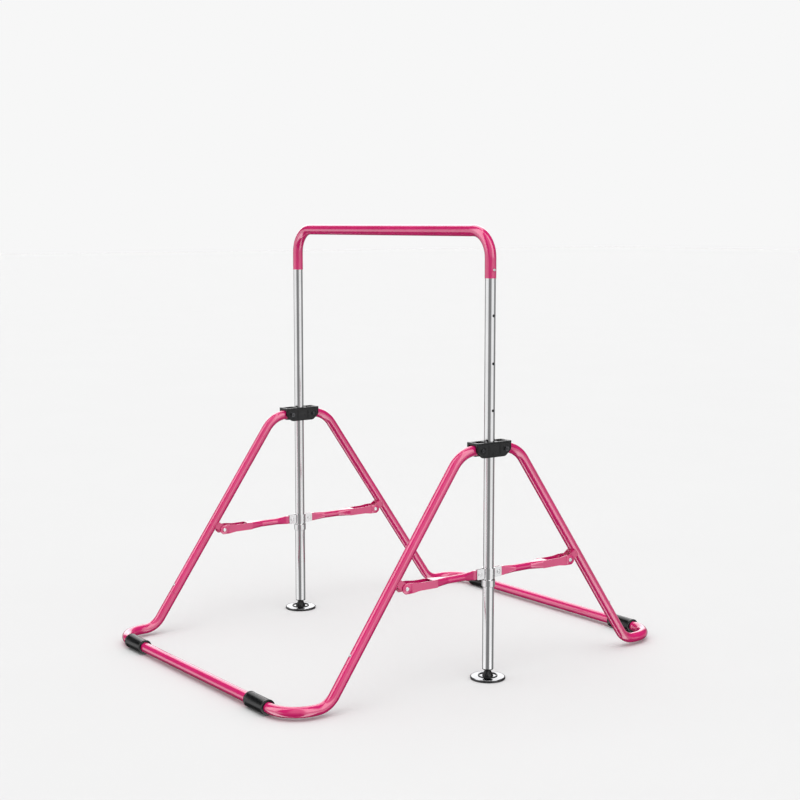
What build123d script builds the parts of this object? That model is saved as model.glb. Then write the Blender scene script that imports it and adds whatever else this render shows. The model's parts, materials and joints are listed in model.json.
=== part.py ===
from build123d import *
import os
from math import cos, radians, sin, sqrt, tan

# A folding kip bar. Two A-frames stand at the ends of the bar and two base rails join them.
# Millimetres. X runs along the bar, Y across the A-frames, +Z is up, origin on the floor in the middle.

# Overall sizes
LENGTH_ALONG_BAR = 1079.5
LENGTH_ACROSS = 1486.0
BAR_CENTRE_HEIGHT = 1352.4

# Tubes
TUBE_RADIUS = 16.0
TUBE_WALL = 1.5
SLIDE_GAP = 0.3
SLIDE_BORE = TUBE_RADIUS + SLIDE_GAP
BAR_RADIUS = SLIDE_BORE + 1.0
LOWER_POST_RADIUS = SLIDE_BORE + 1.0
POST_X = LENGTH_ALONG_BAR / 2 - TUBE_RADIUS

# Top bar and posts
BAR_BEND_RADIUS = 80.0
BAR_SOCKET_BOTTOM = 1213.0
UPPER_POST_TOP = 1262.0
UPPER_POST_BOTTOM = 190.0
BAR_BUTTON_HEIGHT = 1238.0
HEIGHT_HOLES = (692.0, 821.0, 961.0, 1103.0)
LOWER_POST_BOTTOM = 32.0
BUTTON_RADIUS = 4.0
HOLE_RADIUS = 4.3
BUTTON_PROUD = 4.5

# Stop ring on the lower post, and the collar that rests just above it
RING_BOTTOM = 286.0
RING_HEIGHT = 22.0
RING_RADIUS = 20.5
COLLAR_HEIGHT = 33.0
COLLAR_CENTRE = 327.0
COLLAR_RADIUS = 19.6
GROOVE_OFFSET = 5.5
EAR_HEIGHT = 31.0
EAR_REACH = 47.5
EAR_INNER = 3.3
EAR_THICKNESS = 2.0

# Foot under each post
PAD_RADIUS = 53.5
PAD_HEIGHT = 6.0
PLATE_RADIUS = 51.0
FLANGE_RADIUS = 30.0
NECK_BASE_RADIUS = 17.0
NECK_TOP_RADIUS = 8.0
PLUG_DEPTH = 18.0

# Bracket that carries the post and the tops of the legs
BRACKET_TOP = 728.0
BRACKET_BOTTOM = 682.0
BRACKET_REACH = 66.0
BRACKET_FOOT_REACH = 43.0
BRACKET_HALF_WIDTH = 25.0
BRACKET_CORNER_RADIUS = 16.0
CHEEK_INNER = 16.6
BOSS_HALF_LENGTH = 20.0
BRIDGE_INNER = 57.0
PIVOT_HEIGHT = 705.0
PIVOT_Y = 44.0
PIVOT_RADIUS = 4.0
BUSHING_RADIUS = 6.0
PIVOT_GAP = 0.08
LOCK_HEIGHT = HEIGHT_HOLES[0]
LOCK_CAP_RADIUS = 6.5
LOCK_PROUD = 1.4

# Legs
LEG_STUB_END = 30.0
LEG_SLOPE = 35.0
LEG_CORNER_Y = 105.5
LEG_TOP_BEND = 100.0
LEG_FOOT_BEND = 70.0
RAIL_BEND = 90.0
LEG_SEAM_HEIGHT = 128.0
LEG_INSERT = 60.0
INSERT_RADIUS = TUBE_RADIUS - TUBE_WALL - 0.1
LEG_BUTTON_ABOVE_SEAM = 26.0

# Base rails and the sleeves that join them to the legs
SLEEVE_RADIUS = 23.0
SLEEVE_LENGTH = 102.0
SLEEVE_CENTRE = 375.0
RAIL_Y = LENGTH_ACROSS / 2 - SLEEVE_RADIUS
RAIL_HEIGHT = SLEEVE_RADIUS

# Folding links between the collar and the leg tabs
LINK_ROOT_Y = 36.0
LINK_LENGTH = 283.0
LINK_TUBE = 22.0
LINK_WALL = 1.5
FLAT_THICKNESS = 6.0
FLAT_HEIGHT = 28.0
FLAT_END_RADIUS = 13.5
FORK_INNER = 16.4
FORK_THICKNESS = 1.6
FORK_HALF_HEIGHT = 15.5
RIVET_RADIUS = 4.0
TAB_EYE_RADIUS = 12.0
TAB_OUTER = 15.0
TAB_THICKNESS = 2.5

# Places worked out from the driving sizes
SLOPE = radians(LEG_SLOPE)
DOWN_LEG = Vector(0, sin(SLOPE), -cos(SLOPE))
LEG_NORMAL = Vector(0, cos(SLOPE), sin(SLOPE))
LEG_TOP_CORNER = Vector(0, LEG_CORNER_Y, PIVOT_HEIGHT)
LEG_FOOT_CORNER = LEG_TOP_CORNER + DOWN_LEG * ((PIVOT_HEIGHT - RAIL_HEIGHT) / cos(SLOPE))
LEG_SEAM = LEG_TOP_CORNER + DOWN_LEG * ((PIVOT_HEIGHT - LEG_SEAM_HEIGHT) / cos(SLOPE))
LINK_TIP = Vector(0, LINK_ROOT_Y + LINK_LENGTH, COLLAR_CENTRE)
TAB_DEPTH = (LEG_TOP_CORNER - LINK_TIP).dot(LEG_NORMAL)
LEG_BUTTON = LEG_SEAM - DOWN_LEG * LEG_BUTTON_ABOVE_SEAM

# The link's cross-sections: distance from the collar's rivet, width, height, corner radius
FORK_WIDTH = 2 * (FORK_INNER + FORK_THICKNESS)
LINK_SECTIONS = (
    (24.0, FLAT_THICKNESS, FLAT_HEIGHT, 2.8),
    (64.0, LINK_TUBE, LINK_TUBE, 10.8),
    (126.0, LINK_TUBE, LINK_TUBE, 10.8),
    (172.0, FORK_WIDTH, 24.0, 5.0),
    (188.0, FORK_WIDTH, 24.0, 5.0),
)


# Shared shapes

def bent_path(corners, radii):
    """Straight runs between the corners, each inner corner rounded by an arc."""
    points = [Vector(corner) for corner in corners]
    edges = []
    start = points[0]
    for before, corner, after, radius in zip(points, points[1:], points[2:], radii):
        into = (corner - before).normalized()
        out = (after - corner).normalized()
        trim = radius * tan(radians(into.get_angle(out)) / 2)
        arc_start = corner - into * trim
        arc_end = corner + out * trim
        edges.append(Edge.make_line(start, arc_start))
        edges.append(Edge.make_tangent_arc(arc_start, into, arc_end))
        start = arc_end
    edges.append(Edge.make_line(start, points[-1]))
    return Wire(edges)


def swept_tube(path, radius, wall):
    """A round tube whose centre line is the path."""
    across = Plane(origin=path @ 0, z_dir=path % 0)
    return sweep(across * (Circle(radius) - Circle(radius - wall)), path=path)


def rod(radius, start, end):
    """A solid round bar between two points."""
    axis = Vector(end) - Vector(start)
    across = Plane(origin=start, z_dir=axis)
    return extrude(across * Circle(radius), axis.length)


def pipe(radius, inner_radius, start, end):
    """A straight tube between two points."""
    axis = Vector(end) - Vector(start)
    across = Plane(origin=start, z_dir=axis)
    return extrude(across * (Circle(radius) - Circle(inner_radius)), axis.length)


def slab(profile, x_low, x_high):
    """A profile drawn in the Y-Z plane, made solid from x_low to x_high."""
    plane = Plane(origin=(x_low, 0, 0), x_dir=(0, 1, 0), z_dir=(1, 0, 0))
    return extrude(plane * profile, x_high - x_low)


def turned(profile_points):
    """A solid turned about Z from (radius, height) points."""
    face = make_face(Plane.XZ * Polyline(*profile_points, close=True))
    return revolve(face, axis=Axis.Z)


def block(x_low, x_high, y_low, y_high, z_low, z_high):
    """A box between two corners."""
    centre = ((x_low + x_high) / 2, (y_low + y_high) / 2, (z_low + z_high) / 2)
    return Pos(*centre) * Box(x_high - x_low, y_high - y_low, z_high - z_low)


# Top bar and posts. One-sided pieces are drawn at x = 0 with their outer face towards +X.

def top_bar():
    half = POST_X
    corners = [(-half, 0, BAR_SOCKET_BOTTOM), (-half, 0, BAR_CENTRE_HEIGHT),
               (half, 0, BAR_CENTRE_HEIGHT), (half, 0, BAR_SOCKET_BOTTOM)]
    bar = swept_tube(bent_path(corners, [BAR_BEND_RADIUS] * 2), BAR_RADIUS, BAR_RADIUS - SLIDE_BORE)
    for side in (-1, 1):
        inner = (side * POST_X, 0, BAR_BUTTON_HEIGHT)
        outer = (side * (POST_X + 2 * TUBE_RADIUS), 0, BAR_BUTTON_HEIGHT)
        bar -= rod(HOLE_RADIUS, inner, outer)
    return bar


def upper_post():
    post = pipe(TUBE_RADIUS, TUBE_RADIUS - TUBE_WALL, (0, 0, UPPER_POST_BOTTOM), (0, 0, UPPER_POST_TOP))
    for height in HEIGHT_HOLES + (BAR_BUTTON_HEIGHT,):
        post -= rod(HOLE_RADIUS, (0, 0, height), (2 * TUBE_RADIUS, 0, height))
    return post


def snap_button(inner, outer):
    """A domed pin along +X through a tube wall from its inner to its outer radius, with a foot inside."""
    tip = outer + BUTTON_PROUD
    stem = rod(BUTTON_RADIUS, (inner - 2.5, 0, 0), (tip - BUTTON_RADIUS, 0, 0))
    dome = Pos(tip - BUTTON_RADIUS, 0, 0) * Sphere(BUTTON_RADIUS)
    foot = rod(BUTTON_RADIUS + 1.5, (inner - 4, 0, 0), (inner - 2.5, 0, 0))
    return stem + dome + foot


def snap_clip(inner):
    """A leaf spring bent to a V: one arm lies on the tube's far wall, the other meets the pin pressed in."""
    strip = 0.8
    width = 8.0
    height = 42.0
    far = -sqrt((inner - 0.2) ** 2 - (width / 2) ** 2)
    near = inner - 10.2
    outline = Polyline((far, 8), (far, -height), (far + 2.5, -height), (near, 0), (near, 6),
                       (near - strip, 6), (near - strip, 0.3), (far + 2, -height + strip),
                       (far + strip, -height + strip), (far + strip, 8), close=True)
    return extrude(Plane.XZ * make_face(outline), width / 2, both=True)


# Lower post, stop ring and foot

def lower_post():
    top = RING_BOTTOM + RING_HEIGHT - 4
    return pipe(LOWER_POST_RADIUS, SLIDE_BORE, (0, 0, LOWER_POST_BOTTOM), (0, 0, top))


def stop_ring():
    top = RING_BOTTOM + RING_HEIGHT
    return turned([(LOWER_POST_RADIUS, RING_BOTTOM), (RING_RADIUS - 1, RING_BOTTOM),
                   (RING_RADIUS, RING_BOTTOM + 1), (RING_RADIUS, top - 1), (RING_RADIUS - 1, top),
                   (SLIDE_BORE, top), (SLIDE_BORE, top - 4), (LOWER_POST_RADIUS, top - 4)])


def foot_plug():
    """Plug in the post's end with the conical neck that stands on the foot."""
    base = PAD_HEIGHT + 2.5
    return turned([(0, base), (NECK_BASE_RADIUS, base), (NECK_BASE_RADIUS, base + 2),
                   (NECK_TOP_RADIUS, LOWER_POST_BOTTOM - 5), (NECK_TOP_RADIUS, LOWER_POST_BOTTOM - 3),
                   (LOWER_POST_RADIUS, LOWER_POST_BOTTOM - 3), (LOWER_POST_RADIUS, LOWER_POST_BOTTOM),
                   (SLIDE_BORE, LOWER_POST_BOTTOM), (SLIDE_BORE, LOWER_POST_BOTTOM + PLUG_DEPTH),
                   (0, LOWER_POST_BOTTOM + PLUG_DEPTH)])


def foot_flange():
    """Black ring that stands on the plate around the neck."""
    base = PAD_HEIGHT + 2.5
    return turned([(FLANGE_RADIUS - 4, base), (FLANGE_RADIUS, base), (FLANGE_RADIUS, base + 1.4),
                   (FLANGE_RADIUS - 1.2, base + 2.6), (FLANGE_RADIUS - 3, base + 2.6)])


def foot_plate():
    """Pressed steel disc, slightly dished, on top of the rubber pad."""
    top = PAD_HEIGHT + 2.5
    return turned([(0, PAD_HEIGHT - 1), (PLATE_RADIUS - 2, PAD_HEIGHT - 1), (PLATE_RADIUS, PAD_HEIGHT),
                   (PLATE_RADIUS - 0.6, PAD_HEIGHT + 0.9), (FLANGE_RADIUS + 3, top), (0, top)])


def foot_pad():
    """Rubber pad with a raised rim that wraps the plate's edge."""
    floor = PAD_HEIGHT - 1
    return turned([(0, 0), (PAD_RADIUS - 1, 0), (PAD_RADIUS, 1), (PAD_RADIUS, PAD_HEIGHT),
                   (PAD_RADIUS - 1, PAD_HEIGHT + 1), (PLATE_RADIUS + 0.4, PAD_HEIGHT + 1),
                   (PLATE_RADIUS + 0.4, PAD_HEIGHT - 0.2), (PLATE_RADIUS - 2, floor), (0, floor)])


# Bracket

def bracket_half():
    """Outer half shell, x from 0 outwards: a cheek, half of the post's boss and half of each end bridge."""
    corner = PIVOT_HEIGHT - 4
    outline = Polyline((-BRACKET_REACH, BRACKET_TOP), (BRACKET_REACH, BRACKET_TOP), (BRACKET_REACH, corner),
                       (BRACKET_FOOT_REACH, BRACKET_BOTTOM), (-BRACKET_FOOT_REACH, BRACKET_BOTTOM),
                       (-BRACKET_REACH, corner), close=True)
    cheek = make_face(outline)
    cheek = fillet(cheek.vertices().sort_by(Axis.Y)[:4], BRACKET_CORNER_RADIUS)
    shell = slab(cheek, CHEEK_INNER, BRACKET_HALF_WIDTH)
    outer_rim = shell.faces().sort_by(Axis.X)[-1].edges()
    shell = fillet(outer_rim, 1.6)
    shell += block(0, CHEEK_INNER, -BOSS_HALF_LENGTH, BOSS_HALF_LENGTH, BRACKET_BOTTOM, BRACKET_TOP)
    for side in (-1, 1):
        low, high = sorted((side * BRIDGE_INNER, side * BRACKET_REACH))
        shell += block(0, CHEEK_INNER, low, high, PIVOT_HEIGHT + TUBE_RADIUS + 0.4, BRACKET_TOP)
    shell -= rod(SLIDE_BORE, (0, 0, BRACKET_BOTTOM - 1), (0, 0, BRACKET_TOP + 1))
    for side in (-1, 1):
        pivot = side * PIVOT_Y
        shell -= rod(PIVOT_RADIUS, (0, pivot, PIVOT_HEIGHT), (2 * TUBE_RADIUS, pivot, PIVOT_HEIGHT))
    return shell


def lock_pocket():
    """Space for the lock button in the outer half: a stepped hole towards the post."""
    pocket = rod(
        LOCK_CAP_RADIUS + SLIDE_GAP, (18.5, 0, LOCK_HEIGHT), (BRACKET_HALF_WIDTH + 2, 0, LOCK_HEIGHT)
    )
    return pocket + rod(BUTTON_RADIUS, (TUBE_RADIUS / 2, 0, LOCK_HEIGHT), (19, 0, LOCK_HEIGHT))


def lock_button():
    outer = BRACKET_HALF_WIDTH + LOCK_PROUD
    cap = rod(LOCK_CAP_RADIUS, (22.8, 0, LOCK_HEIGHT), (outer, 0, LOCK_HEIGHT))
    cap = fillet(cap.edges().sort_by(Axis.X)[-1], 0.9)
    return cap + rod(BUTTON_RADIUS - SLIDE_GAP, (TUBE_RADIUS + 0.5, 0, LOCK_HEIGHT), (23, 0, LOCK_HEIGHT))


def lock_spring():
    """Coned spring washer at the bottom of the pocket."""
    washer = turned([(4.2, 0.0), (6.2, 0.4), (6.2, 1.0), (4.2, 0.6)])
    return Pos(18.6, 0, LOCK_HEIGHT) * (Rot(0, 90, 0) * washer)


def pivot_bolt(side):
    """Bolt through both cheeks: its head is outside on the front pivot, inside on the rear pivot."""
    y = side * PIVOT_Y
    head_side = -side
    face = head_side * BRACKET_HALF_WIDTH
    shank = rod(PIVOT_RADIUS, (face, y, PIVOT_HEIGHT), (-face - head_side * 8, y, PIVOT_HEIGHT))
    head = rod(7.5, (face, y, PIVOT_HEIGHT), (face + head_side * 4.2, y, PIVOT_HEIGHT))
    outer_edge = head.edges().sort_by(Axis.X)[-1 if head_side > 0 else 0]
    return shank + fillet(outer_edge, 2.6)


def pivot_nut(side):
    """Hex nut on the bolt's other end, with a washer face."""
    y = side * PIVOT_Y
    face = side * BRACKET_HALF_WIDTH
    low, high = sorted((face, face + side * 6.8))
    low_washer, high_washer = sorted((face, face + side * 1.2))
    hexagon = Pos(y, PIVOT_HEIGHT) * (RegularPolygon(7.4, 6) - Circle(PIVOT_RADIUS))
    washer = Pos(y, PIVOT_HEIGHT) * (Circle(8.4) - Circle(PIVOT_RADIUS))
    return slab(hexagon, low, high) + slab(washer, low_washer, high_washer)


def pivot_bushing():
    half = CHEEK_INNER - SLIDE_GAP
    start = (-half, PIVOT_Y, PIVOT_HEIGHT)
    end = (half, PIVOT_Y, PIVOT_HEIGHT)
    return pipe(BUSHING_RADIUS, PIVOT_RADIUS + PIVOT_GAP, start, end)


# Legs. Drawn for the rear (+Y) side and the right (+X) side.

def upper_leg():
    corners = [(0, LEG_STUB_END, PIVOT_HEIGHT), LEG_TOP_CORNER, LEG_SEAM]
    leg = swept_tube(bent_path(corners, [LEG_TOP_BEND]), TUBE_RADIUS, TUBE_WALL)
    leg -= rod(BUSHING_RADIUS, (-40, PIVOT_Y, PIVOT_HEIGHT), (40, PIVOT_Y, PIVOT_HEIGHT))
    return leg - rod(HOLE_RADIUS, LEG_BUTTON, LEG_BUTTON + LEG_NORMAL * 2 * TUBE_RADIUS)


def lower_leg():
    """Tube with a foot bend and a rail bend; a narrower insert reaches up inside the upper leg."""
    seam = LEG_SEAM + DOWN_LEG * 0.4
    corners = [seam, LEG_FOOT_CORNER, (0, RAIL_Y, RAIL_HEIGHT), (SLEEVE_CENTRE - POST_X, RAIL_Y, RAIL_HEIGHT)]
    leg = swept_tube(bent_path(corners, [LEG_FOOT_BEND, RAIL_BEND]), TUBE_RADIUS, TUBE_WALL)
    bore = INSERT_RADIUS - TUBE_WALL
    leg += pipe(INSERT_RADIUS, bore, seam - DOWN_LEG * LEG_INSERT, seam + DOWN_LEG * 6)
    leg += pipe(TUBE_RADIUS - 0.5, bore, seam, seam + DOWN_LEG * 4)
    return leg - rod(HOLE_RADIUS, LEG_BUTTON, LEG_BUTTON + LEG_NORMAL * TUBE_RADIUS)


def on_leg(piece):
    """Move a piece drawn about the origin, +X outwards and +Z up the leg, to the leg's button hole."""
    return Plane(origin=LEG_BUTTON, x_dir=LEG_NORMAL, z_dir=-DOWN_LEG).location * piece


def leg_tab():
    """Two ears and a back, bent from one strip and welded to the inner side of the leg."""
    side_view = Plane(origin=LINK_TIP, x_dir=LEG_NORMAL, z_dir=(1, 0, 0))
    outline = Circle(TAB_EYE_RADIUS) + Pos(TAB_DEPTH / 2, 0) * Rectangle(TAB_DEPTH, 2 * TAB_EYE_RADIUS)
    back = TAB_DEPTH - TUBE_RADIUS - TAB_THICKNESS
    gap = Pos(back / 2 - TAB_EYE_RADIUS, 0) * Rectangle(back + 2 * TAB_EYE_RADIUS, 4 * TAB_EYE_RADIUS)
    tab = extrude(side_view * outline, TAB_OUTER, both=True)
    tab -= extrude(side_view * gap, TAB_OUTER - TAB_THICKNESS, both=True)
    tab -= rod(RIVET_RADIUS, LINK_TIP - Vector(40, 0, 0), LINK_TIP + Vector(40, 0, 0))
    on_centre = LINK_TIP + LEG_NORMAL * TAB_DEPTH
    return tab - rod(TUBE_RADIUS, on_centre - DOWN_LEG * 40, on_centre + DOWN_LEG * 40)


def tab_pin():
    """Spacer tube of the tab's rivet, flush with the ears."""
    return rod(RIVET_RADIUS, LINK_TIP - Vector(TAB_OUTER, 0, 0), LINK_TIP + Vector(TAB_OUTER, 0, 0))


# Base rails and sleeves

def base_rail():
    half = SLEEVE_CENTRE - 0.6
    inner = TUBE_RADIUS - TUBE_WALL
    return pipe(TUBE_RADIUS, inner, (-half, RAIL_Y, RAIL_HEIGHT), (half, RAIL_Y, RAIL_HEIGHT))


def rail_sleeve():
    """Sleeve with a close bore on the rail's half and a running bore on the leg's half."""
    half = SLEEVE_LENGTH / 2
    chamfer_size = 1.5
    body = turned([(TUBE_RADIUS, -half), (SLEEVE_RADIUS - chamfer_size, -half),
                   (SLEEVE_RADIUS, -half + chamfer_size), (SLEEVE_RADIUS, half - chamfer_size),
                   (SLEEVE_RADIUS - chamfer_size, half), (SLIDE_BORE, half),
                   (SLIDE_BORE, 0), (TUBE_RADIUS, 0)])
    return Pos(SLEEVE_CENTRE, RAIL_Y, RAIL_HEIGHT) * (Rot(0, 90, 0) * body)


# Collar and links

def collar():
    """Grooved sleeve sliding on the post, with a pair of plates at each side for a link's flat end."""
    low = COLLAR_CENTRE - COLLAR_HEIGHT / 2
    high = COLLAR_CENTRE + COLLAR_HEIGHT / 2
    body = rod(COLLAR_RADIUS, (0, 0, low), (0, 0, high))
    for offset in (-GROOVE_OFFSET, GROOVE_OFFSET):
        groove_low = COLLAR_CENTRE + offset - 0.8
        body -= pipe(COLLAR_RADIUS + 1, COLLAR_RADIUS - 0.6, (0, 0, groove_low), (0, 0, groove_low + 1.6))
    plate = Pos(0, COLLAR_CENTRE) * RectangleRounded(2 * EAR_REACH, EAR_HEIGHT, 3)
    for side in (-1, 1):
        x_low, x_high = sorted((side * EAR_INNER, side * (EAR_INNER + EAR_THICKNESS)))
        body += slab(plate, x_low, x_high)
    body -= rod(SLIDE_BORE, (0, 0, low - 1), (0, 0, high + 1))
    for side in (-1, 1):
        root = side * LINK_ROOT_Y
        body -= rod(RIVET_RADIUS, (-40, root, COLLAR_CENTRE), (40, root, COLLAR_CENTRE))
    return body


def rivet_head(y, x_inner, x_face, x_side):
    """Domed head standing on a plate's outer face, with a short shank through the plate."""
    shank = rod(RIVET_RADIUS, (x_side * x_inner, y, COLLAR_CENTRE), (x_side * x_face, y, COLLAR_CENTRE))
    head = rod(6.5, (x_side * x_face, y, COLLAR_CENTRE), (x_side * (x_face + 2.2), y, COLLAR_CENTRE))
    outer_edge = head.edges().sort_by(Axis.X)[-1 if x_side > 0 else 0]
    return shank + fillet(outer_edge, 1.8)


def collar_rivet():
    face = EAR_INNER + EAR_THICKNESS
    return rivet_head(LINK_ROOT_Y, 0, face, 1) + rivet_head(LINK_ROOT_Y, 0, face, -1)


def link_rivet_heads():
    """The two heads outside the link's fork, over the tab's pin."""
    face = FORK_INNER + FORK_THICKNESS
    return [rivet_head(LINK_TIP.Y, FORK_INNER, face, side) for side in (-1, 1)]


def link_body(inset):
    """The link's tube between its cross-sections, drawn smaller by the inset for the hollow."""
    faces = []
    for distance, width, height, corner in LINK_SECTIONS:
        across = Plane(origin=(0, LINK_ROOT_Y + distance, COLLAR_CENTRE), x_dir=(1, 0, 0), z_dir=(0, 1, 0))
        faces.append(across * RectangleRounded(width - 2 * inset, height - 2 * inset, corner - inset))
    body = loft([faces[0], faces[1]])
    for start, end in zip(faces[1:], faces[2:]):
        body += loft([start, end])
    return body


def link_flat():
    """The tube's flattened end, which turns on the collar's rivet."""
    reach = LINK_SECTIONS[0][0]
    outline = Pos(LINK_ROOT_Y, COLLAR_CENTRE) * Circle(FLAT_END_RADIUS)
    outline += make_face(Polyline((LINK_ROOT_Y, COLLAR_CENTRE + FLAT_END_RADIUS),
                                  (LINK_ROOT_Y + reach, COLLAR_CENTRE + FLAT_HEIGHT / 2),
                                  (LINK_ROOT_Y + reach, COLLAR_CENTRE - FLAT_HEIGHT / 2),
                                  (LINK_ROOT_Y, COLLAR_CENTRE - FLAT_END_RADIUS), close=True))
    outline -= Pos(LINK_ROOT_Y, COLLAR_CENTRE) * Circle(RIVET_RADIUS + PIVOT_GAP)
    return slab(outline, -FLAT_THICKNESS / 2, FLAT_THICKNESS / 2)


def fork_plate():
    """Outline of one side of the fork: it grows taller towards the tip and ends with cut corners."""
    tip = LINK_TIP.Y
    narrow = LINK_SECTIONS[-1][2] / 2
    top = [(tip - 112, narrow), (tip - 46, narrow), (tip - 20, FORK_HALF_HEIGHT), (tip + 6, FORK_HALF_HEIGHT),
           (tip + 16, 7)]
    points = top + [(y, -z) for y, z in reversed(top)]
    outline = make_face(Polyline(*points, close=True))
    outline = fillet(outline.vertices().sort_by(Axis.X)[-4:], 3)
    return Pos(0, COLLAR_CENTRE) * (outline - Pos(tip, 0) * Circle(RIVET_RADIUS))


def link():
    """Tube flattened at the collar, round in the middle and spread into an open fork at the leg."""
    outer = FORK_INNER + FORK_THICKNESS
    plates = slab(fork_plate(), FORK_INNER, outer) + slab(fork_plate(), -outer, -FORK_INNER)
    return link_body(0) - link_body(LINK_WALL) + link_flat() + plates


# Assembly

def place(piece, x_side, y_side=1):
    """Mirror a piece drawn for the right rear corner, then move it out to its post."""
    return Pos(x_side * POST_X, 0, 0) * mirrored(piece, x_side, y_side)


def mirrored(piece, x_side, y_side=1):
    if x_side < 0:
        piece = mirror(piece, about=Plane.YZ)
    if y_side < 0:
        piece = mirror(piece, about=Plane.XZ)
    return piece


def both_sides(pieces, y_side=1):
    """One group of separate solids: each piece at the left and at the right post."""
    return Compound([place(piece, x_side, y_side) for x_side in (-1, 1) for piece in pieces])


SIDES = {"left": -1, "right": 1}
ENDS = {"front": -1, "rear": 1}
POST_BORE = TUBE_RADIUS - TUBE_WALL

nodes = {"top_bar": top_bar()}
bar_button = Pos(0, 0, BAR_BUTTON_HEIGHT) * snap_button(POST_BORE, BAR_RADIUS)
bar_clip = Pos(0, 0, BAR_BUTTON_HEIGHT) * snap_clip(POST_BORE)
bracket = bracket_half()
for side_name, side in SIDES.items():
    nodes[f"{side_name}_upper_post"] = place(upper_post(), side)
    nodes[f"{side_name}_bar_button"] = place(bar_button, side)
    nodes[f"{side_name}_lower_post"] = place(lower_post(), side)
    nodes[f"{side_name}_foot_plate"] = place(foot_plate(), side)
    nodes[f"{side_name}_foot_pad"] = place(foot_pad(), side)
    nodes[f"{side_name}_bracket_outer"] = place(bracket - lock_pocket(), side)
    nodes[f"{side_name}_bracket_inner"] = place(mirrored(bracket, -1), side)
    nodes[f"{side_name}_lock_button"] = place(lock_button(), side)
    nodes[f"{side_name}_collar"] = place(collar(), side)
nodes["bar_button_clips"] = both_sides([bar_clip])
nodes["stop_rings"] = both_sides([stop_ring()])
nodes["foot_plugs"] = both_sides([foot_plug()])
nodes["foot_flanges"] = both_sides([foot_flange()])
nodes["pivot_bolts"] = both_sides([pivot_bolt(-1), pivot_bolt(1)])
nodes["pivot_nuts"] = both_sides([pivot_nut(-1), pivot_nut(1)])
nodes["lock_springs"] = both_sides([lock_spring()])
nodes["collar_rivets"] = both_sides([collar_rivet(), mirrored(collar_rivet(), 1, -1)])

leg_button = on_leg(snap_button(INSERT_RADIUS - TUBE_WALL, TUBE_RADIUS))
leg_clip = on_leg(snap_clip(INSERT_RADIUS - TUBE_WALL))
for end_name, end in ENDS.items():
    for side_name, side in SIDES.items():
        corner = f"{end_name}_{side_name}"
        nodes[f"{corner}_upper_leg"] = place(upper_leg(), side, end)
        nodes[f"{corner}_lower_leg"] = place(lower_leg(), side, end)
        nodes[f"{corner}_leg_button"] = place(leg_button, side, end)
        nodes[f"{corner}_link"] = place(link(), side, end)
        nodes[f"{corner}_sleeve"] = mirrored(rail_sleeve(), side, end)
    nodes[f"{end_name}_leg_clips"] = both_sides([leg_clip], end)
    nodes[f"{end_name}_leg_tabs"] = both_sides([leg_tab()], end)
    nodes[f"{end_name}_tab_pins"] = both_sides([tab_pin()], end)
    nodes[f"{end_name}_link_rivets"] = both_sides(link_rivet_heads(), end)
    nodes[f"{end_name}_pivot_bushings"] = both_sides([pivot_bushing()], end)
    nodes[f"{end_name}_base_rail"] = mirrored(base_rail(), 1, end)

os.makedirs("parts", exist_ok=True)
for name, piece in nodes.items():
    export_step(piece, f"parts/{name}.step")
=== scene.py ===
import json
from math import cos, pi, radians, sin, tau

import bmesh
import bpy
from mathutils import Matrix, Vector


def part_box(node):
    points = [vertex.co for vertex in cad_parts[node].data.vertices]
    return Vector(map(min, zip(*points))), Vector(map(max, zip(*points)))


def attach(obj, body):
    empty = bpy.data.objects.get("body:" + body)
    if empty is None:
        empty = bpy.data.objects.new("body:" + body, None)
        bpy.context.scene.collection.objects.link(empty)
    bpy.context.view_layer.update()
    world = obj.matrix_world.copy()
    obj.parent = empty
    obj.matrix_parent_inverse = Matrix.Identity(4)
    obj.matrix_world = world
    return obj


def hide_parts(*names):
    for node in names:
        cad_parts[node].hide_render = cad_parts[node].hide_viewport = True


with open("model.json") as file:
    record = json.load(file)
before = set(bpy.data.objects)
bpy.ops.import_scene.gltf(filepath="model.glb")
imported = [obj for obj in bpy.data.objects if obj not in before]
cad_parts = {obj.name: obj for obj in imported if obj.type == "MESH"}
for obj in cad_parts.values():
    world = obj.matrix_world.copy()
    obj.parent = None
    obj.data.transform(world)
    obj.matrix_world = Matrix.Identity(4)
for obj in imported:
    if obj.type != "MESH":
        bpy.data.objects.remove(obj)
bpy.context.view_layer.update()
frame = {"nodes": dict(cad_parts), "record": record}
NODES = frame["nodes"]
RECORD = frame["record"]
JOINTS = {joint["name"]: joint for joint in RECORD["behaviour"]["joints"]}

SIDES = {"left": -1, "right": 1}
ENDS = {"front": -1, "rear": 1}
MM = 0.001

# Camera, in metres and radians
CAMERA_PLACE = Vector((3.9196, -2.8513, 1.3756))
CAMERA_AZIMUTH = radians(53.43)
CAMERA_PITCH = radians(6.75)
CAMERA_LENS = 67.4
SENSOR_WIDTH = 36.0


# Places read from the frame

def centre(node):
    low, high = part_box(node)
    return (low + high) / 2


def size(node):
    low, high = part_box(node)
    return high - low


POST_X = centre("right_foot_plate").x
TUBE_RADIUS = size("front_base_rail").z / 2
FOLD = radians(JOINTS["fold"]["range_deg"][1])
PIVOT = Vector(JOINTS["rear_leg_pivot"]["pos_m"])
LINK_TIP = centre("rear_tab_pins")
DOWN_LEG = Vector((0, sin(FOLD), -cos(FOLD)))
LEG_NORMAL = Vector((0, cos(FOLD), sin(FOLD)))


# Node helpers

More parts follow.
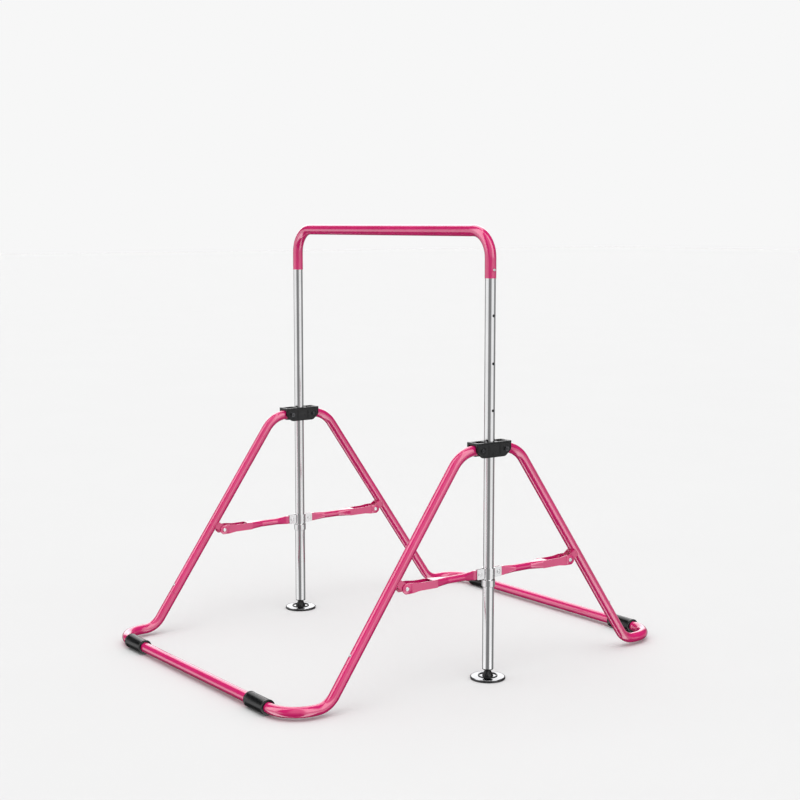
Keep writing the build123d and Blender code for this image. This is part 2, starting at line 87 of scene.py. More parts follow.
class Nodes:
    """Short helpers for procedural nodes in a material or world tree."""

    def __init__(self, tree):
        self.tree = tree

    def node(self, kind, **values):
        made = self.tree.nodes.new(kind)
        for key, value in values.items():
            setattr(made, key, value)
        return made

    def link(self, output, socket):
        self.tree.links.new(output, socket)

    def remap(self, value, low, high, to_low=0.0, to_high=1.0):
        made = self.node("ShaderNodeMapRange")
        for socket, number in zip(list(made.inputs)[1:5], (low, high, to_low, to_high)):
            socket.default_value = number
        self.link(value, made.inputs["Value"])
        return made.outputs["Result"]

    def maths(self, operation, first, second=0.0):
        made = self.node("ShaderNodeMath", operation=operation)
        for socket, value in zip(made.inputs, (first, second)):
            if isinstance(value, (int, float)):
                socket.default_value = value
            else:
                self.link(value, socket)
        return made.outputs["Value"]

    def blend(self, factor, first, second):
        """Mix two colours, each a colour or a socket, by a factor socket."""
        made = self.node("ShaderNodeMix", data_type="RGBA")
        self.link(factor, made.inputs["Factor"])
        for key, value in (("A", first), ("B", second)):
            socket = [s for s in made.inputs if s.name == key and s.type == "RGBA"][0]
            if isinstance(value, tuple):
                socket.default_value = (*value, 1.0)
            else:
                self.link(value, socket)
        return [s for s in made.outputs if s.type == "RGBA"][0]


class Shader(Nodes):
    """A Principled material with procedural inputs."""

    def __init__(self, name):
        self.material = bpy.data.materials.new(name)
        self.material.use_nodes = True
        super().__init__(self.material.node_tree)
        self.surface = self.tree.nodes["Principled BSDF"]
        self.place = self.node("ShaderNodeTexCoord").outputs["Object"]

    def set(self, **values):
        for key, value in values.items():
            self.surface.inputs[key.replace("_", " ")].default_value = value

    def stretched(self, scale):
        """The place in space, scaled apart along X, Y and Z."""
        mapping = self.node("ShaderNodeMapping")
        mapping.inputs["Scale"].default_value = scale
        self.link(self.place, mapping.inputs["Vector"])
        return mapping.outputs["Vector"]

    def noise(self, scale, detail=3.0, roughness=0.55, stretch=(1, 1, 1)):
        made = self.node("ShaderNodeTexNoise")
        made.inputs["Scale"].default_value = scale
        made.inputs["Detail"].default_value = detail
        made.inputs["Roughness"].default_value = roughness
        self.link(self.stretched(stretch), made.inputs["Vector"])
        return made.outputs["Fac"]

    def voronoi(self, scale):
        made = self.node("ShaderNodeTexVoronoi")
        made.inputs["Scale"].default_value = scale
        self.link(self.place, made.inputs["Vector"])
        return made.outputs["Distance"]

    def edges(self, low=0.52, high=0.62):
        """Convex edges, as a mask from the mesh's pointiness: rubbed wear on the black parts, a painted edge
        highlight on zinc.
        """
        geometry = self.node("ShaderNodeNewGeometry")
        return self.remap(geometry.outputs["Pointiness"], low, high)

    def colour(self, socket):
        self.link(socket, self.surface.inputs["Base Color"])

    def roughness(self, socket):
        self.link(socket, self.surface.inputs["Roughness"])

    def bump(self, *heights):
        """Stack bumps: each entry is (height socket, strength, distance in metres)."""
        normal = None
        for height, strength, distance in heights:
            made = self.node("ShaderNodeBump")
            made.inputs["Strength"].default_value = strength
            made.inputs["Distance"].default_value = distance
            self.link(height, made.inputs["Height"])
            if normal is not None:
                self.link(normal, made.inputs["Normal"])
            normal = made.outputs["Normal"]
        self.link(normal, self.surface.inputs["Normal"])


# Materials

def powder_coat():
    """Glossy pink powder coat: orange-peel skin, faint mottling, thin scuffs."""
    shader = Shader("pink_powder_coat")
    mottle = shader.remap(shader.noise(9.0, 4.0), 0.35, 0.65)
    fleck = shader.remap(shader.noise(900.0, 2.0), 0.5, 0.8)
    colour = shader.blend(mottle, (0.51, 0.008, 0.112), (0.57, 0.011, 0.134))
    colour = shader.blend(shader.maths("MULTIPLY", fleck, 0.15), colour, (0.88, 0.08, 0.33))
    scuffs = shader.remap(shader.noise(55.0, 6.0, 0.7, (1.0, 1.0, 0.35)), 0.68, 0.8)
    shader.colour(shader.blend(shader.maths("MULTIPLY", scuffs, 0.2), colour, (0.78, 0.14, 0.32)))
    rough = shader.remap(shader.noise(30.0, 4.0), 0.3, 0.7, 0.15, 0.22)
    shader.roughness(shader.maths("ADD", rough, shader.maths("MULTIPLY", scuffs, 0.2)))
    shader.bump((shader.noise(420.0, 2.0), 0.10, 0.0002), (shader.noise(60.0, 3.0), 0.04, 0.0006))
    shader.set(Metallic=0.0, IOR=1.5, Specular_IOR_Level=0.25)
    shader.set(Coat_Weight=1.0, Coat_IOR=1.55, Coat_Roughness=0.05)
    return shader.material


def post_steel():
    """Bright plated tube: fine drawing lines along the tube and soft smudges."""
    shader = Shader("bright_tube_steel")
    lines = shader.noise(1400.0, 3.0, 0.6, (1.0, 1.0, 0.012))
    cloud = shader.remap(shader.noise(14.0, 4.0, 0.6, (1.0, 1.0, 0.5)), 0.35, 0.7)
    tint = shader.blend(cloud, (0.50, 0.50, 0.505), (0.55, 0.55, 0.555))
    streak = shader.remap(lines, 0.35, 0.65)
    shader.colour(shader.blend(shader.maths("MULTIPLY", streak, 0.2), tint, (0.40, 0.40, 0.41)))
    rough = shader.remap(cloud, 0.0, 1.0, 0.09, 0.14)
    shader.roughness(shader.maths("ADD", rough, shader.maths("MULTIPLY", streak, 0.03)))
    shader.bump((lines, 0.05, 0.0001), (shader.noise(120.0, 2.0), 0.02, 0.0003))
    shader.set(Metallic=1.0)
    return shader.material


def zinc():
    """Zinc-plated small parts: slightly grey with a fine crystal mottling, and convex edges painted
    near-white as a highlight.
    """
    shader = Shader("zinc_plate")
    grain = shader.remap(shader.voronoi(900.0), 0.0, 0.6)
    cloud = shader.remap(shader.noise(160.0, 4.0), 0.35, 0.65)
    colour = shader.blend(grain, (0.46, 0.46, 0.47), (0.56, 0.56, 0.565))
    colour = shader.blend(shader.maths("MULTIPLY", cloud, 0.35), colour, (0.36, 0.36, 0.375))
    # Painted highlight: the convex edges are painted near-white.
    shader.colour(shader.blend(shader.edges(), colour, (0.93, 0.93, 0.93)))
    shader.roughness(shader.remap(cloud, 0.0, 1.0, 0.24, 0.38))
    shader.bump((shader.noise(1500.0, 2.0), 0.12, 0.0001))
    shader.set(Metallic=0.9)
    return shader.material


TURNED_RINGS = 9000.0  # radians of turned ripple in a metre of radius


def polished_plate():
    """Pressed foot disc: turned rings about the post and faint floor scuffs."""
    shader = Shader("polished_foot_plate")
    split = shader.node("ShaderNodeSeparateXYZ")
    shader.link(shader.place, split.inputs["Vector"])
    across = shader.maths("SUBTRACT", shader.maths("ABSOLUTE", split.outputs["X"]), POST_X)
    across_squared = shader.maths("POWER", across, 2.0)
    along_squared = shader.maths("POWER", split.outputs["Y"], 2.0)
    radius = shader.maths("SQRT", shader.maths("ADD", across_squared, along_squared))
    rings = shader.maths("SINE", shader.maths("MULTIPLY", radius, TURNED_RINGS))
    scuffs = shader.remap(shader.noise(140.0, 6.0, 0.7), 0.6, 0.74)
    shader.colour(shader.blend(scuffs, (0.33, 0.33, 0.34), (0.24, 0.24, 0.255)))
    shader.roughness(shader.maths("ADD", shader.maths("MULTIPLY", scuffs, 0.2), 0.07))
    shader.bump((rings, 0.05, 0.0001), (shader.noise(300.0, 3.0), 0.04, 0.0003))
    shader.set(Metallic=1.0)
    return shader.material


def black_plastic(name, grain, base, worn, rough_low, rough_high):
    """Moulded black plastic: fine grain, faint flow mottling, pale rubbed edges and handling marks."""
    shader = Shader(name)
    mottle = shader.remap(shader.noise(40.0, 4.0), 0.35, 0.65)
    marks = shader.remap(shader.noise(90.0, 8.0, 0.75), 0.64, 0.82)
    colour = shader.blend(mottle, base, tuple(1.4 * c for c in base))
    colour = shader.blend(shader.maths("MULTIPLY", marks, 0.4), colour, worn)
    shader.colour(shader.blend(shader.maths("MULTIPLY", shader.edges(0.57, 0.7), 0.6), colour, worn))
    shader.roughness(shader.remap(mottle, 0.0, 1.0, rough_low, rough_high))
    shader.bump((shader.noise(grain, 2.0), 0.3, 0.0002), (shader.noise(25.0, 3.0), 0.04, 0.001))
    shader.set(Metallic=0.0, IOR=1.5, Specular_IOR_Level=0.22)
    return shader.material


def rubber():
    """Black rubber with a matt bloom and dust."""
    shader = Shader("black_rubber")
    bloom = shader.remap(shader.noise(60.0, 6.0, 0.65), 0.4, 0.75)
    shader.colour(shader.blend(bloom, (0.008, 0.008, 0.009), (0.024, 0.023, 0.023)))
    shader.roughness(shader.remap(bloom, 0.0, 1.0, 0.5, 0.75))
    shader.bump((shader.noise(1100.0, 3.0), 0.3, 0.0002))
    shader.set(Metallic=0.0)
    return shader.material


def black_bolt():
    """Black oxide steel with edges rubbed brighter."""
    shader = Shader("black_oxide")
    rubbed = shader.remap(shader.noise(260.0, 5.0, 0.7), 0.6, 0.8)
    wear = shader.maths("MAXIMUM", rubbed, shader.edges(0.54, 0.66))
    shader.colour(shader.blend(wear, (0.022, 0.022, 0.024), (0.11, 0.11, 0.115)))
    shader.roughness(shader.remap(wear, 0.0, 1.0, 0.36, 0.24))
    shader.bump((shader.noise(900.0, 2.0), 0.15, 0.0001))
    shader.set(Metallic=0.8)
    return shader.material


def nylon():
    """Natural nylon, milky and slightly waxy."""
    shader = Shader("natural_nylon")
    cloud = shader.remap(shader.noise(200.0, 3.0), 0.4, 0.6)
    shader.colour(shader.blend(cloud, (0.66, 0.65, 0.60), (0.74, 0.73, 0.69)))
    shader.roughness(shader.remap(cloud, 0.0, 1.0, 0.4, 0.5))
    shader.bump((shader.noise(800.0, 2.0), 0.1, 0.0002))
    return shader.material


def spring_steel():
    """Blued spring strip."""
    shader = Shader("spring_strip")
    cloud = shader.remap(shader.noise(220.0, 4.0), 0.35, 0.65)
    shader.colour(shader.blend(cloud, (0.20, 0.21, 0.25), (0.34, 0.33, 0.34)))
    shader.roughness(shader.remap(cloud, 0.0, 1.0, 0.25, 0.4))
    shader.bump((shader.noise(1200.0, 2.0, 0.5, (0.1, 1.0, 1.0)), 0.1, 0.0001))
    shader.set(Metallic=1.0)
    return shader.material


def floor_paint():
    """Plain pale studio floor with a trace of unevenness."""
    shader = Shader("studio_floor")
    cloud = shader.remap(shader.noise(1.2, 3.0), 0.3, 0.7)
    shader.colour(shader.blend(cloud, (0.585, 0.585, 0.585), (0.595, 0.595, 0.595)))
    shader.roughness(shader.remap(cloud, 0.0, 1.0, 0.75, 0.85))
    shader.set(Specular_IOR_Level=0.1)
    return shader.material


WORN_BLACK = (0.030, 0.030, 0.031)
MATERIALS = {
    "pink_coat": powder_coat(),
    "post_steel": post_steel(),
    "zinc": zinc(),
    "bright_plate": polished_plate(),
    "black_plastic": black_plastic(
        "bracket_plastic", 1300.0, (0.004, 0.0042, 0.0045), WORN_BLACK, rough_low=0.26, rough_high=0.36
    ),
    "black_sleeve": black_plastic(
        "sleeve_plastic", 800.0, (0.004, 0.0043, 0.0046), WORN_BLACK, rough_low=0.16, rough_high=0.26
    ),
    "rubber": rubber(),
    "black_bolt": black_bolt(),
    "nylon": nylon(),
    "spring_steel": spring_steel(),
}
FLOOR_MATERIAL = floor_paint()


def dress(piece, slot_name):
    """Give an object, CAD or new, the finish of one of the record's material slots."""
    piece.data.materials.clear()
    piece.data.materials.append(MATERIALS[slot_name])


for part in RECORD["subparts"]:
    dress(NODES[part["node"]], part["material_slot"])


# Shape helpers. Each adds to a bmesh; add_piece turns the bmesh into an object.

BEAD_STEPS_PER_PITCH = 6
BEAD_FEWEST_STEPS = 8
BEAD_TIP = 0.25  # a bead's radius at its very end, as a share of the full radius
BEAD_TAPER_STEPS = 5
PLATE_EDGE_SHARE = 0.3  # how far along a plate's bevel its rounding bends


def add_piece(name, shape, body, slot_name, smooth_angle=35):
    mesh = bpy.data.meshes.new(name)
    bmesh.ops.recalc_face_normals(shape, faces=shape.faces)
    shape.to_mesh(mesh)
    shape.free()
    piece = bpy.data.objects.new(name, mesh)
    bpy.context.scene.collection.objects.link(piece)
    for face in mesh.polygons:
        face.use_smooth = True
    mesh.set_sharp_from_angle(angle=radians(smooth_angle))
    dress(piece, slot_name)
    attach(piece, body)
    return piece


def turned(shape, profile, origin, axis, steps=72, wave=None):
    """Turn a closed (radius, height) profile, in millimetres, about an axis.

    wave(turn, height) may scale the radius for ribs and flutes."""
    spin = Vector(axis).to_track_quat("Z", "Y").to_matrix()
    rings = []
    for step in range(steps):
        turn = tau * step / steps
        ring = []
        for radius, height in profile:
            grown = radius * (wave(turn, height) if wave else 1.0)
            local = Vector((grown * cos(turn), grown * sin(turn), height)) * MM
            ring.append(shape.verts.new(Vector(origin) + spin @ local))
        rings.append(ring)
    for ring, following in zip(rings, rings[1:] + rings[:1]):
        count = len(profile)
        for i in range(count):
            j = (i + 1) % count
            shape.faces.new([ring[i], ring[j], following[j], following[i]])


def bead(shape, points, radius, ripple=0.0, pitch=2.2, sides=10):
    """A rounded bead along points, such as a weld: it swells and narrows once each pitch.

    The points and radius are in metres, the pitch is in millimetres."""
    lengths = [0.0]
    for start, end in zip(points, points[1:]):
        lengths.append(lengths[-1] + (end - start).length)
    count = max(BEAD_FEWEST_STEPS, int(lengths[-1] / (pitch * MM) * BEAD_STEPS_PER_PITCH))
    rings = []
    for k in range(count + 1):
        along = lengths[-1] * k / count
        i = max(j for j in range(len(lengths)) if lengths[j] <= along + 1e-9)
        i = min(i, len(points) - 2)
        step = points[i + 1] - points[i]
        place = points[i] + step * ((along - lengths[i]) / max(step.length, 1e-9))
        direction = step.normalized()
        side_way = direction.orthogonal().normalized()
        up = direction.cross(side_way)
        end_taper = min(1.0, BEAD_TIP + min(k, count - k) / BEAD_TAPER_STEPS)
        grown = radius * end_taper * (1 + ripple * sin(tau * along / (pitch * MM)))
        ring = []
        for s in range(sides):
            around = tau * s / sides
            ring.append(shape.verts.new(place + (side_way * cos(around) + up * sin(around)) * grown))
        rings.append(ring)
    for ring, following in zip(rings, rings[1:]):
        for s in range(sides):
            t = (s + 1) % sides
            shape.faces.new([ring[s], ring[t], following[t], following[s]])
    shape.faces.new(rings[0])
    shape.faces.new(list(reversed(rings[-1])))


def plate(shape, outline, x_inner, x_outer, bevel):
    """A plate in the Y-Z plane, with its outer face's edge bevelled. The outline is in metres."""
    middle = sum((Vector(p) for p in outline), Vector((0, 0))) / len(outline)
    toward = 1 if x_outer > x_inner else -1
    loops = []
    soft = bevel * PLATE_EDGE_SHARE
    steps = (
        (x_inner, 0.0),
        (x_outer - toward * bevel, 0.0),
        (x_outer - toward * soft, soft),
        (x_outer, bevel),
    )
    for x, inset in steps:
        loop = []
        for point in outline:
            way = (middle - Vector(point)).normalized()
            y, z = Vector(point) + way * inset
            loop.append(shape.verts.new((x, y, z)))
        loops.append(loop)
    for loop, following in zip(loops, loops[1:]):
        for i in range(len(outline)):
            j = (i + 1) % len(outline)
            shape.faces.new([loop[i], loop[j], following[j], following[i]])
    shape.faces.new(list(reversed(loops[0])))
    shape.faces.new(loops[-1])


def rounded(points, radius, steps=5):
    """Round each corner of a closed outline of (y, z) points with a short curve."""
    result = []
    for i, point in enumerate(points):
        corner = Vector(point)
        before, after = Vector(points[i - 1]), Vector(points[(i + 1) % len(points)])
        into, out = before - corner, after - corner
        start = corner + into.normalized() * min(radius, into.length / 2)
        end = corner + out.normalized() * min(radius, out.length / 2)
        for k in range(steps + 1):
            t = k / steps
            result.append(start * (1 - t) ** 2 + corner * 2 * t * (1 - t) + end * t ** 2)
    return result


# Pieces built here. Profiles are (radius, height) in millimetres.

SLEEVE_PROFILE = (
    (16.4, -50.9), (21.4, -50.9), (22.6, -50.4), (23.0, -49.2), (23.0, -44.8), (22.5, -44.0), (22.4, -43.2),
    (22.4, 43.2), (22.5, 44.0), (23.0, 44.8), (23.0, 49.2), (22.6, 50.4), (21.4, 50.9), (16.4, 50.9),
)
PAD_PROFILE = (
    (0.5, 0.6), (12.0, 0.6), (12.8, 0.0), (22.0, 0.0), (22.8, 0.6), (31.0, 0.6), (31.8, 0.0), (41.0, 0.0),
    (41.8, 0.6), (45.0, 0.6), (45.8, 0.0), (52.2, 0.0), (53.2, 0.5), (53.4, 1.4), (53.3, 2.2), (52.6, 2.7),
    (53.3, 3.2), (53.4, 5.6), (53.0, 6.6), (52.4, 7.0), (51.7, 6.8), (51.3, 6.0), (51.2, 5.2), (0.5, 5.2),
)
PLATE_PROFILE = (
    (0.5, 5.3), (50.0, 5.3), (50.9, 5.8), (51.0, 6.5), (50.6, 7.2), (49.7, 7.5), (48.6, 7.4), (47.4, 7.0),
    (46.2, 6.9), (43.0, 7.4), (38.0, 8.0), (33.0, 8.4), (31.0, 8.5), (0.5, 8.5),
)
RING_PROFILE = (
    (26.0, 8.4), (30.0, 8.4), (30.0, 9.7), (29.6, 10.5), (28.8, 11.0), (27.6, 11.1), (26.6, 10.7),
    (26.0, 9.8),
)
NECK_PROFILE = (
    (0.5, 8.4), (17.0, 8.4), (17.0, 9.4), (16.6, 10.4), (15.4, 12.6), (13.2, 16.6), (11.0, 20.8),
    (9.2, 24.4), (8.3, 26.8), (8.4, 28.6), (9.4, 29.0), (16.6, 29.0), (17.2, 29.5), (17.3, 31.9),
    (16.3, 31.9), (16.3, 50.0), (0.5, 50.0),
)
NECK_RIBS = 10
RIB_DEPTH = 0.05
RIB_LOW, RIB_HIGH = 10.5, 27.0

# Sleeves
PARTING_ANGLES = (radians(35), radians(215))
PARTING_RADIUS = 22.35 * MM
PARTING_BEAD = 0.45 * MM
PARTING_INSET = 7 * MM

# Links and leg tabs. The plate's outline is (y, z) in millimetres from the tip rivet.
LINK_PLATE = (
    (-17, -12.5), (-14, -15), (6, -15), (15, -6.5), (15, 6.5), (6, 15), (-14, 15), (-17, 12.5),
)
LINK_PLATE_CORNER = 2 * MM
LINK_PLATE_THICKNESS = 0.9 * MM
LINK_PLATE_BEVEL = 0.4 * MM
TAB_DEPTH = 41.9 * MM
TAB_HALF_HEIGHT = 12.0 * MM
WELD_RADIUS = 1.5 * MM
WELD_BURIED = 6.2 * MM
WELD_SIDE = 14.5 * MM
WELD_RIPPLE = 0.16

# Rolled lips, in millimetres: round section, how far inside the tube's face, how far from its edge
SOCKET_LIP, SOCKET_LIP_INSET = 0.9, 0.5
SEAM_LIP, SEAM_LIP_INSET, SEAM_LIP_RISE = 0.7, 0.35, 0.8

# Relief on the bracket's cheeks
SEAT_PROFILE = (
    (8.7, -0.4), (11.4, -0.4), (10.8, 0.63), (10.2, 0.9), (8.9, 0.9), (8.7, 0.63),
)
RIM_INSET = 4.5 * MM
RIM_BELOW_PIVOT = 7 * MM
RIM_FOOT_INSET = 25 * MM
RIM_CORNER = 9 * MM
RIM_BEAD = 0.75 * MM
LOCK_GAP = 9.5 * MM
CHEEK_RIBS = (18.5 * MM, 23.5 * MM)
CHEEK_RIB_BEAD = 0.7 * MM
CHEEK_RIB_INSET = 8 * MM
RELIEF_PITCH = 4.0


def make_sleeves():
    """Moulded rail sleeves with banded ends and a fine parting line along each side."""
    for end_name in ENDS:
        for side_name in SIDES:
            node = f"{end_name}_{side_name}_sleeve"
            middle = centre(node)
            half = size(node).x / 2
            shape = bmesh.new()
            turned(shape, SLEEVE_PROFILE, middle, (1, 0, 0), steps=96)
            for angle in PARTING_ANGLES:
                line = middle + Vector((0, cos(angle), sin(angle))) * PARTING_RADIUS
                run = Vector((half - PARTING_INSET, 0, 0))
                bead(shape, [line - run, line + run], PARTING_BEAD, pitch=12.0)
            piece = add_piece(f"{node}_moulding", shape, f"{end_name}_base", "black_sleeve")
            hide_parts(node)


def neck_ribs(turn, height):
    """Flutes around the foot's tapered neck."""
    if RIB_LOW < height < RIB_HIGH:
        return 1.0 + RIB_DEPTH * cos(NECK_RIBS * turn)
    return 1.0


def make_feet():
    """Both disc feet: rubber pad with tread, dished plate with a rolled edge, ring and ribbed neck."""
    parts = (
        ("foot_pad_rubber", PAD_PROFILE, "rubber", None, ["left_foot_pad", "right_foot_pad"]),
        ("foot_plate_pressing", PLATE_PROFILE, "bright_plate", None, ["left_foot_plate", "right_foot_plate"]),
        ("foot_ring_moulding", RING_PROFILE, "black_plastic", None, ["foot_flanges"]),
        ("foot_neck_moulding", NECK_PROFILE, "black_plastic", neck_ribs, ["foot_plugs"]),
    )
    for name, profile, slot_name, wave, nodes in parts:
        shape = bmesh.new()
        for side in SIDES.values():
            turned(shape, profile, (side * POST_X, 0, 0), (0, 0, 1), steps=120, wave=wave)
        piece = add_piece(name, shape, "post_frame", slot_name)
        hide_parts(*nodes)


def make_link_plates():
    """Cut-corner reinforcing plate around each link's tip rivet, on both faces of the fork."""
    for end_name, end in ENDS.items():
        for side_name, side in SIDES.items():
            low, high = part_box(f"{end_name}_{side_name}_link")
            shape = bmesh.new()
            for face, outward in ((low.x, -1), (high.x, 1)):
                points = [(end * (LINK_TIP.y + y * MM), LINK_TIP.z + z * MM) for y, z in LINK_PLATE]
                outer = face + outward * LINK_PLATE_THICKNESS
                plate(shape, rounded(points, LINK_PLATE_CORNER), face, outer, LINK_PLATE_BEVEL)
            add_piece(f"{end_name}_{side_name}_link_plates", shape, f"{end_name}_links", "pink_coat")


def make_tab_welds():
    """Coated weld beads where each leg tab's ears meet the leg tube."""
    for end_name, end in ENDS.items():
        shape = bmesh.new()
        for side in SIDES.values():
            for ear in (-1, 1):
                seat = LINK_TIP + LEG_NORMAL * (TAB_DEPTH - WELD_BURIED)
                points = []
                for along in (-1, -0.33, 0.33, 1):
                    place = seat + DOWN_LEG * (along * TAB_HALF_HEIGHT)
                    points.append(Vector((side * POST_X + ear * WELD_SIDE, end * place.y, place.z)))
                bead(shape, points, WELD_RADIUS, ripple=WELD_RIPPLE)
        add_piece(f"{end_name}_tab_welds", shape, f"{end_name}_legs", "pink_coat", smooth_angle=60)


def rolled_lip(shape, place, axis, radius, thickness):
    """A small rolled ring of round section, in millimetres, about an axis."""
    turns = [tau * k / 12 for k in range(12)]
    profile = [(radius + thickness * cos(turn), thickness * sin(turn)) for turn in turns]
    turned(shape, profile, place, axis, steps=96)


def make_lips():
    """Rolled mouths of the bar's sockets and of the legs above their seams."""
    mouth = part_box("top_bar")[0].z + SOCKET_LIP * MM
    lip_radius = size("top_bar").y / 2 / MM - SOCKET_LIP_INSET
    shape = bmesh.new()
    for side in SIDES.values():
        rolled_lip(shape, (side * POST_X, 0, mouth), (0, 0, 1), lip_radius, SOCKET_LIP)
    add_piece("bar_socket_lips", shape, "upper_frame", "pink_coat")
    for end_name, end in ENDS.items():
        shape = bmesh.new()
        for side_name, side in SIDES.items():
            low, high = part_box(f"{end_name}_{side_name}_upper_leg")
            reach = high.y if end > 0 else -low.y
            seam = Vector((0, reach - TUBE_RADIUS * cos(FOLD), low.z + TUBE_RADIUS * sin(FOLD)))
            place = seam - DOWN_LEG * SEAM_LIP_RISE * MM
            axis = Vector((0, end * DOWN_LEG.y, DOWN_LEG.z))
            centre_point = (side * POST_X, end * place.y, place.z)
            rolled_lip(shape, centre_point, axis, TUBE_RADIUS / MM - SEAM_LIP_INSET, SEAM_LIP)
        add_piece(f"{end_name}_leg_seam_lips", shape, f"{end_name}_legs", "pink_coat")


def make_bracket_mouldings():
    """Moulded relief on the bracket's cheeks: a rim bead open at the lock button, bolt seats and ribs."""
    shape = bmesh.new()
    low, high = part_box("right_bracket_outer")
    half_width = high.x - POST_X
    lower, upper, waist = low.z + RIM_INSET, high.z - RIM_INSET, PIVOT.z - RIM_BELOW_PIVOT
    corners = [
        (low.y + RIM_FOOT_INSET, lower), (low.y + RIM_INSET, waist), (low.y + RIM_INSET, upper),
        (high.y - RIM_INSET, upper), (high.y - RIM_INSET, waist), (high.y - RIM_FOOT_INSET, lower),
    ]
    rim = [(-LOCK_GAP, lower)] + [tuple(point) for point in rounded(corners, RIM_CORNER, 8)]
    rim.append((LOCK_GAP, lower))
    for side in SIDES.values():
        for cheek in (-1, 1):
            face = side * POST_X + cheek * half_width
            bead(shape, [Vector((face, y, z)) for y, z in rim], RIM_BEAD, pitch=RELIEF_PITCH, sides=8)
            for end in ENDS.values():
                turned(shape, SEAT_PROFILE, (face, end * PIVOT.y, PIVOT.z), (cheek, 0, 0), steps=64)
                for y in CHEEK_RIBS:
                    bottom = Vector((face, end * y, low.z + CHEEK_RIB_INSET))
                    top = Vector((face, end * y, high.z - CHEEK_RIB_INSET))
                    bead(shape, [bottom, top], CHEEK_RIB_BEAD, pitch=RELIEF_PITCH, sides=8)
    add_piece("bracket_relief", shape, "post_frame", "black_plastic")


make_sleeves()
make_feet()
make_link_plates()
make_tab_welds()
make_lips()
make_bracket_mouldings()


# Stage, lights and camera

FLOOR_HALF_SIZE = 60.0
WHITE_BACKGROUND = 0.93
BAND_SOFTNESS = radians(7)
# Bright side panels seen in reflections: world azimuth of the middle, half width level with the eye and above
SIDE_PANELS = ((radians(-117.6), radians(39.5), radians(21)), (radians(16.4), radians(30.0), radians(20)))
# Panels just above the horizon, behind and in front: azimuth of the middle, half width, light
LOW_PANELS = ((radians(150), radians(28), 2.2), (radians(-30), radians(28), 1.0))
LEVEL_PANEL_LIGHT, LEVEL_GAP_LIGHT = 1.15, 0.40
TALL_PANEL_LIGHT, TALL_GAP_LIGHT = 3.8, 0.06
# Heights on the unit sphere: the middle of the level band that upright tubes mirror, and its fade
LEVEL_HEIGHT = -0.13
LEVEL_FADE = (0.14, 0.28)
LOW_PANEL_FADE = (0.03, 0.12)
# The dome's light rises with height: from height, to height, from light, to light
DOME = (-0.1, 0.9, 0.38, 1.45)
SUN_LIGHT = 1.1
SUN_SPREAD = radians(50)
SUN_WAY = Vector((-0.25, 0.2, -1.0))
FLOOR_GAP = 0.5 * MM


def make_floor():
    mesh = bpy.data.meshes.new("studio_floor")
    shape = bmesh.new()
    bmesh.ops.create_grid(shape, x_segments=4, y_segments=4, size=FLOOR_HALF_SIZE)
    shape.to_mesh(mesh)
    shape.free()
    floor = bpy.data.objects.new("studio_floor", mesh)
    bpy.context.scene.collection.objects.link(floor)
    floor.location.z = -FLOOR_GAP
    floor.data.materials.append(FLOOR_MATERIAL)
    floor.visible_glossy = False


def panel_mask(nodes, x, y, flat, azimuth, half_width):
    """1 where a direction's azimuth lies inside a panel, softly falling to 0 outside it."""
    along_x = nodes.maths("MULTIPLY", x, cos(azimuth))
    along_y = nodes.maths("MULTIPLY", y, sin(azimuth))
    nearness = nodes.maths("DIVIDE", nodes.maths("ADD", along_x, along_y), flat)
    return nodes.remap(nearness, cos(half_width + BAND_SOFTNESS), cos(half_width - BAND_SOFTNESS))


def crossfade(nodes, factor, first, second):
    """first where the factor is 0, second where it is 1."""
    rest = nodes.maths("SUBTRACT", 1.0, factor)
    return nodes.maths("ADD", nodes.maths("MULTIPLY", rest, first), nodes.maths("MULTIPLY", factor, second))


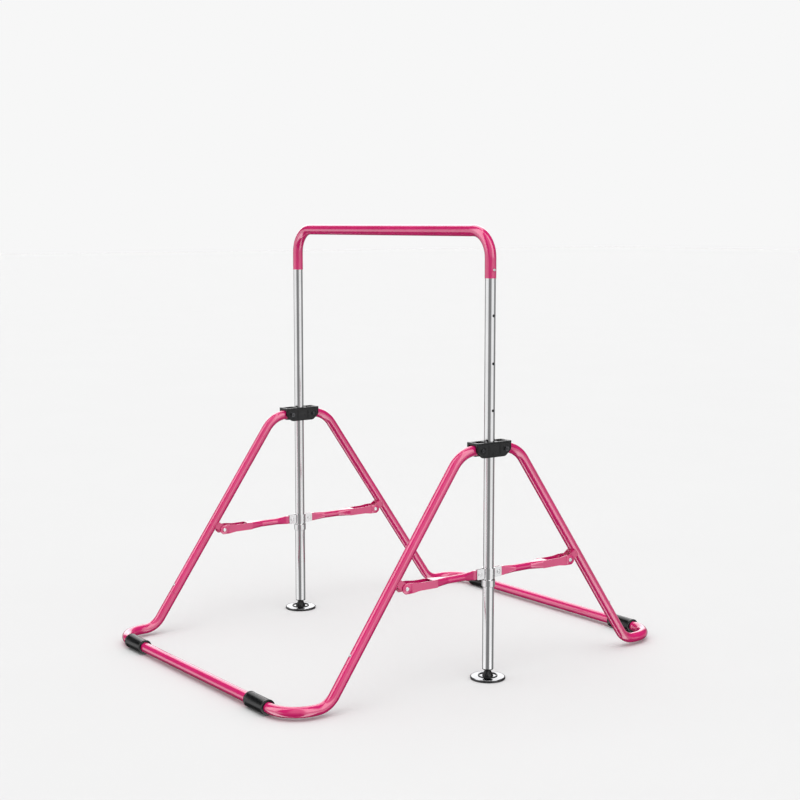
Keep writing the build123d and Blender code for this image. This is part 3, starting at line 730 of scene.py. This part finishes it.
def make_world():
    """Soft studio: a pale dome, brighter overhead, gives the light; reflections see panels and dark gaps."""
    world = bpy.data.worlds.new("studio_world")
    bpy.context.scene.world = world
    world.use_nodes = True
    nodes = Nodes(world.node_tree)
    background = world.node_tree.nodes["Background"]
    split = nodes.node("ShaderNodeSeparateXYZ")
    nodes.link(nodes.node("ShaderNodeTexCoord").outputs["Generated"], split.inputs["Vector"])
    x, y, z = split.outputs
    x_squared = nodes.maths("POWER", x, 2.0)
    y_squared = nodes.maths("POWER", y, 2.0)
    flat = nodes.maths("SQRT", nodes.maths("ADD", x_squared, y_squared))
    level = LEVEL_GAP_LIGHT
    tall = TALL_GAP_LIGHT
    for azimuth, level_width, tall_width in SIDE_PANELS:
        level_panel = panel_mask(nodes, x, y, flat, azimuth, level_width)
        tall_panel = panel_mask(nodes, x, y, flat, azimuth, tall_width)
        level = nodes.maths("ADD", nodes.maths("MULTIPLY", level_panel, LEVEL_PANEL_LIGHT), level)
        tall = nodes.maths("ADD", nodes.maths("MULTIPLY", tall_panel, TALL_PANEL_LIGHT), tall)
    above = nodes.remap(z, *LOW_PANEL_FADE)
    for azimuth, half_width, light in LOW_PANELS:
        low_panel = nodes.maths("MULTIPLY", panel_mask(nodes, x, y, flat, azimuth, half_width), above)
        tall = nodes.maths("ADD", nodes.maths("MULTIPLY", low_panel, light), tall)
    from_level = nodes.maths("ABSOLUTE", nodes.maths("ADD", z, -LEVEL_HEIGHT))
    mirrored = crossfade(nodes, nodes.remap(from_level, *LEVEL_FADE), level, tall)
    dome = nodes.remap(z, *DOME)
    rays = nodes.node("ShaderNodeLightPath")
    lit = crossfade(nodes, rays.outputs["Is Glossy Ray"], dome, mirrored)
    shown = crossfade(nodes, rays.outputs["Is Camera Ray"], lit, WHITE_BACKGROUND)
    nodes.link(shown, background.inputs["Strength"])
    background.inputs["Color"].default_value = (1.0, 1.0, 1.0, 1.0)


def make_sun():
    data = bpy.data.lights.new("soft_overhead", "SUN")
    data.energy = SUN_LIGHT
    data.angle = SUN_SPREAD
    light = bpy.data.objects.new("soft_overhead", data)
    bpy.context.scene.collection.objects.link(light)
    light.rotation_euler = SUN_WAY.to_track_quat("-Z", "Y").to_euler()
    light.visible_glossy = False


def make_camera():
    data = bpy.data.cameras.new("camera")
    data.lens = CAMERA_LENS
    data.sensor_width = SENSOR_WIDTH
    data.sensor_fit = "HORIZONTAL"
    data.clip_end = 100.0
    camera = bpy.data.objects.new("camera", data)
    bpy.context.scene.collection.objects.link(camera)
    camera.location = CAMERA_PLACE
    camera.rotation_euler = (pi / 2 - CAMERA_PITCH, 0.0, CAMERA_AZIMUTH)
    bpy.context.scene.camera = camera


bpy.context.scene.view_settings.view_transform = "Standard"
make_floor()
make_world()
make_sun()
make_camera()
